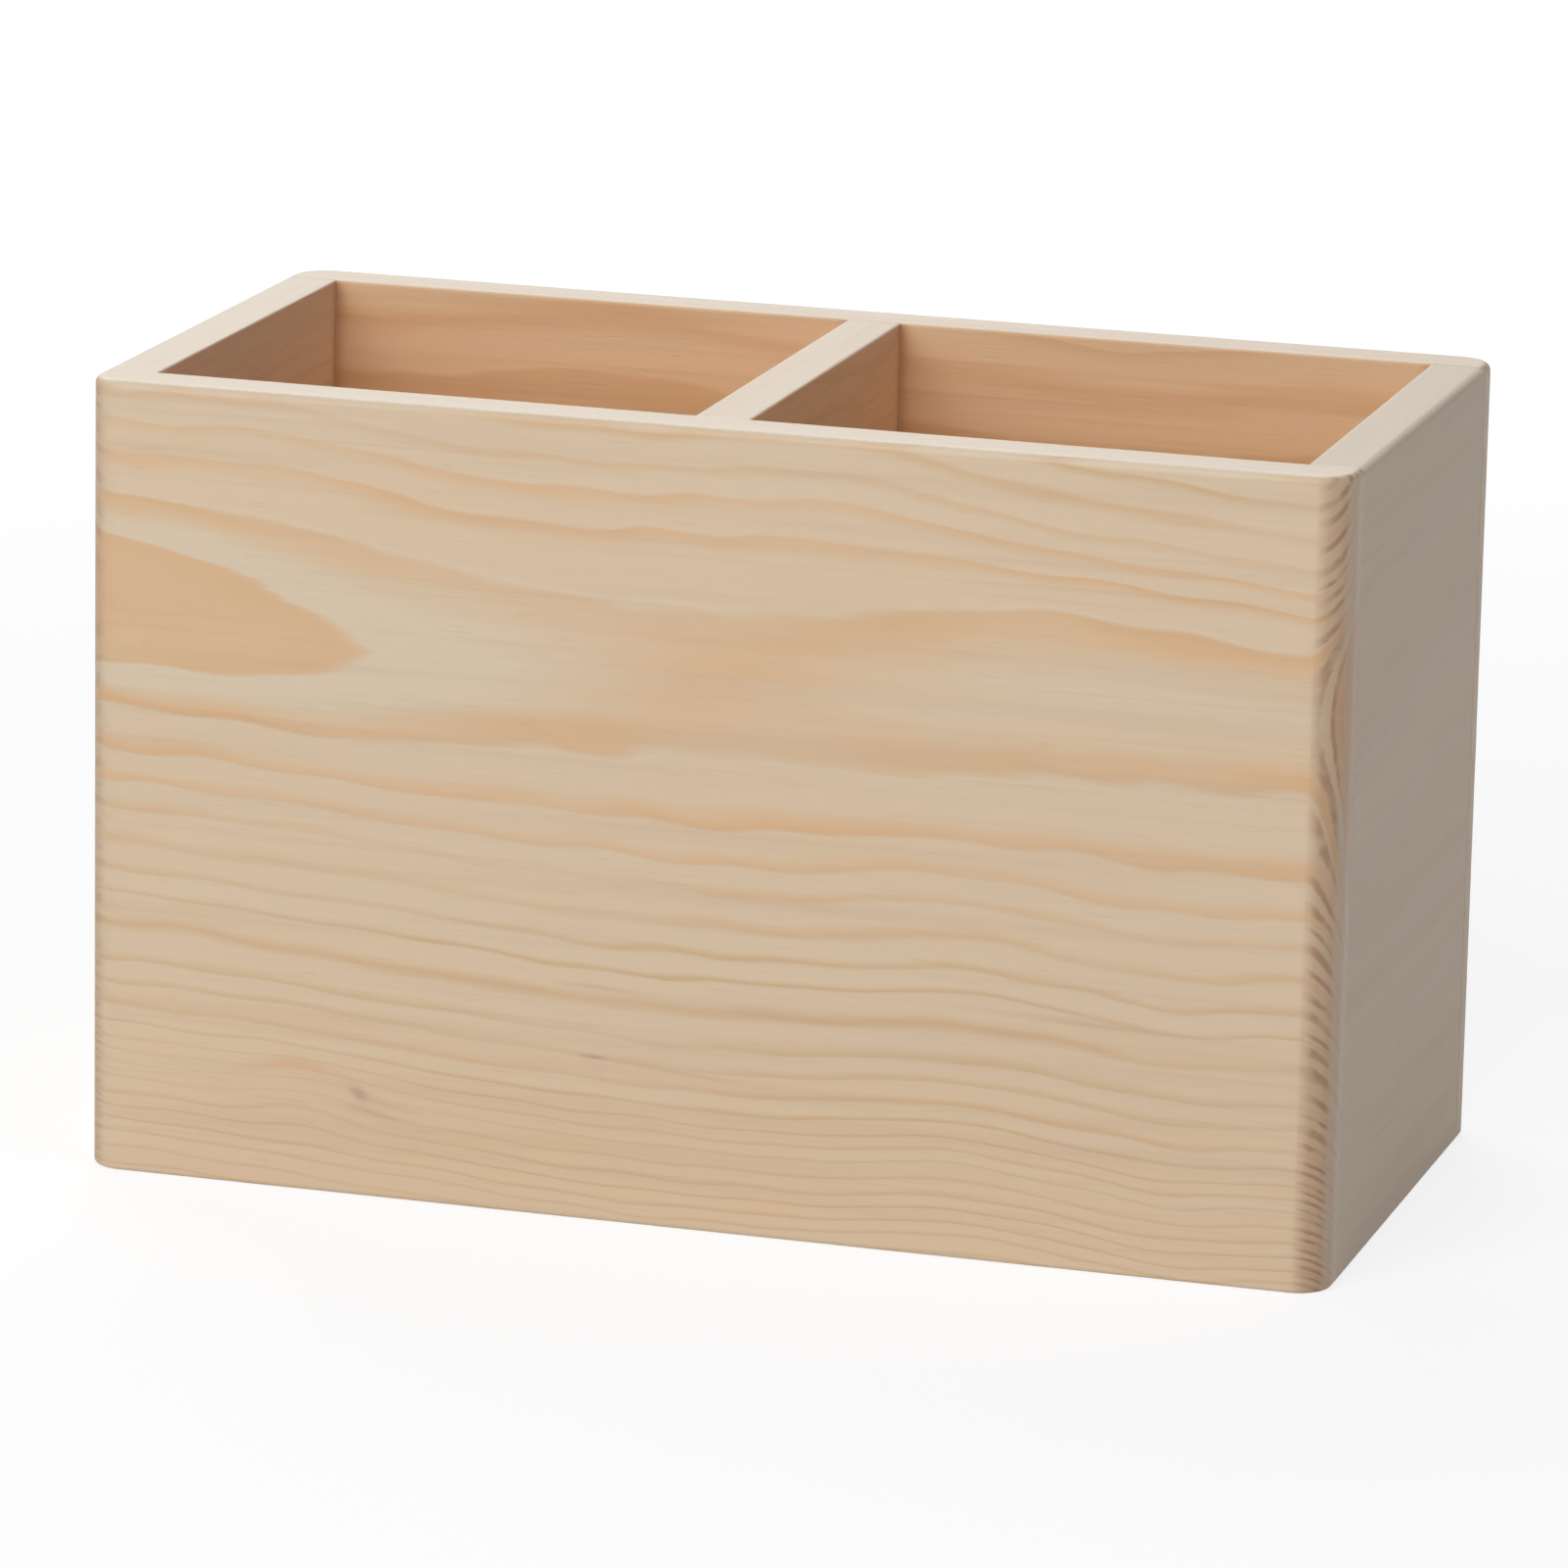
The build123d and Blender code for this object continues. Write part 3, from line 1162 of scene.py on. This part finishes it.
def seen_directly(finish):
    """Value of 1 for what the camera, a gloss or a clear piece sees, and 0 for light on a surface."""
    path = finish.node("ShaderNodeLightPath").outputs
    kinds = ("Is Camera Ray", "Is Glossy Ray", "Is Transmission Ray")
    camera, gloss, clear = (Value(finish, path[kind]) for kind in kinds)
    return finish.maths("MINIMUM", camera + gloss + clear, 1.0)


def close_stage(finish, output, lit, seen):
    """End a tree with one shader for the light that a surface gets and another for what is seen."""
    sockets = {0: seen_directly(finish), 1: lit.outputs[0], 2: seen.outputs[0]}
    both = finish.node("ShaderNodeMixShader", sockets)
    finish.node(output, {"Surface": both.outputs[0]})


def floor_finish(setup):
    """Floor: a pale matt for light, and for the camera a grey matt with a glow that rises to white."""
    material, finish = new_finish("floor_white")
    matt = finish.node("ShaderNodeBsdfDiffuse", {"Color": opaque(setup.floor)})
    pale = finish.node("ShaderNodeBsdfDiffuse", {"Color": opaque(setup.bounce)})
    spot = finish.node("ShaderNodeTexCoord").outputs["Object"]
    away = finish.node("ShaderNodeVectorMath", {0: spot}, operation="LENGTH").outputs["Value"]
    near = opaque((setup.floor_glow, setup.floor_glow, setup.floor_glow))
    light = finish.mix(smooth(0.2, 1.0, Value(finish, away)), near, WHITE)
    glow = finish.node("ShaderNodeEmission", {"Color": light})
    bright = finish.node("ShaderNodeAddShader", {0: matt.outputs[0], 1: glow.outputs[0]})
    close_stage(finish, "ShaderNodeOutputMaterial", pale, bright)
    return material


def add_floor(scene, setup):
    """Flat square grid just under the box."""
    reach = np.linspace(-FLOOR_REACH, FLOOR_REACH, 9)
    x, y = np.meshgrid(reach, reach, indexing="ij")
    grid = np.arange(x.size).reshape(x.shape)
    quads = np.stack([grid[:-1, :-1], grid[1:, :-1], grid[1:, 1:], grid[:-1, 1:]], -1).reshape(-1, 4)
    mesh = bpy.data.meshes.new("floor")
    mesh.from_pydata(np.stack([x, y, np.full_like(x, -FLOOR_DROP)], -1).reshape(-1, 3), [], quads)
    mesh.materials.append(floor_finish(setup))
    floor = bpy.data.objects.new("floor", mesh)
    scene.collection.objects.link(floor)


def light_world(scene, setup):
    """Weak light from all round, and white where the surroundings are seen."""
    world = bpy.data.worlds.new("studio")
    world.use_nodes = True
    scene.world = world
    finish = Finish(world.node_tree)
    sky = {"Color": opaque(setup.cool), "Strength": setup.ambient}
    lit = finish.node("ShaderNodeBackground", sky)
    seen = finish.node("ShaderNodeBackground", {"Color": WHITE, "Strength": 1.0})
    close_stage(finish, "ShaderNodeOutputWorld", lit, seen)


def add_lamp(scene, setup, name):
    """Square soft lamp that looks at a point over the middle of the box."""
    power, width, place, height, tint = LAMPS[name]
    lamp = bpy.data.lights.new(name, "AREA")
    lamp.shape = "SQUARE"
    lamp.size = width
    lamp.energy = getattr(setup, power)
    if tint:
        lamp.color = getattr(setup, tint)
    holder = bpy.data.objects.new(name, lamp)
    scene.collection.objects.link(holder)
    aim = (Vector((0.0, 0.0, height)) - Vector(place)).to_track_quat("-Z", "Y").to_matrix().to_4x4()
    holder.matrix_world = Matrix.Translation(place) @ aim


def add_camera(scene, setup):
    """Camera at the photograph's angle: turned about Z, tilted down and rolled."""
    camera = bpy.data.cameras.new("camera")
    camera.lens = setup.lens
    camera.sensor_width = SENSOR
    camera.clip_end = 20.0
    holder = bpy.data.objects.new("camera", camera)
    scene.collection.objects.link(holder)
    turn = Matrix.Rotation(setup.yaw, 4, "Z") @ Matrix.Rotation(math.pi / 2 - setup.pitch, 4, "X")
    turn = turn @ Matrix.Rotation(setup.roll, 4, "Z")
    holder.matrix_world = Matrix.Translation(setup.place) @ turn
    scene.camera = holder


class PINEBOX_OT_stage(Operator):
    """Set up the floor, the lamps and the camera"""

    bl_idname = "pinebox.stage"
    bl_label = "Stage"

    def execute(self, context):
        scene = context.scene
        setup = scene.pinebox_stage
        scene.view_settings.view_transform = "Standard"
        add_floor(scene, setup)
        light_world(scene, setup)
        for name in LAMPS:
            add_lamp(scene, setup, name)
        add_camera(scene, setup)
        return {"FINISHED"}


class PINEBOX_PT_panel(Panel):
    """Lists the box's pieces and its stage"""

    bl_idname = "PINEBOX_PT_panel"
    bl_label = "Pine box"
    bl_space_type = "VIEW_3D"
    bl_region_type = "UI"
    bl_category = "Pine box"

    def draw(self, context):
        for step in STEPS:
            self.layout.operator(step.bl_idname)


SETTINGS = {
    "pinebox_sizes": BoxSizes,
    "pinebox_pine": PineLook,
    "pinebox_dowels": DowelLook,
    "pinebox_stage": StageSetup,
}
STEPS = (
    PINEBOX_OT_face_boards,
    PINEBOX_OT_end_boards,
    PINEBOX_OT_divider,
    PINEBOX_OT_bottom_panel,
    PINEBOX_OT_dowels,
    PINEBOX_OT_stage,
)


def register():
    """Register the settings, the operators and the panel."""
    for name, group in SETTINGS.items():
        bpy.utils.register_class(group)
        setattr(bpy.types.Scene, name, PointerProperty(type=group))
    for step in STEPS:
        bpy.utils.register_class(step)
    bpy.utils.register_class(PINEBOX_PT_panel)


def unregister():
    """Take away what register added."""
    bpy.utils.unregister_class(PINEBOX_PT_panel)
    for step in reversed(STEPS):
        bpy.utils.unregister_class(step)
    for name, group in SETTINGS.items():
        delattr(bpy.types.Scene, name)
        bpy.utils.unregister_class(group)


def main():
    """Register the add-on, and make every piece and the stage."""
    register()
    bpy.ops.pinebox.face_boards()
    bpy.ops.pinebox.end_boards()
    bpy.ops.pinebox.divider()
    bpy.ops.pinebox.bottom_panel()
    bpy.ops.pinebox.dowels()
    bpy.ops.pinebox.stage()


if __name__ == "__main__":
    main()
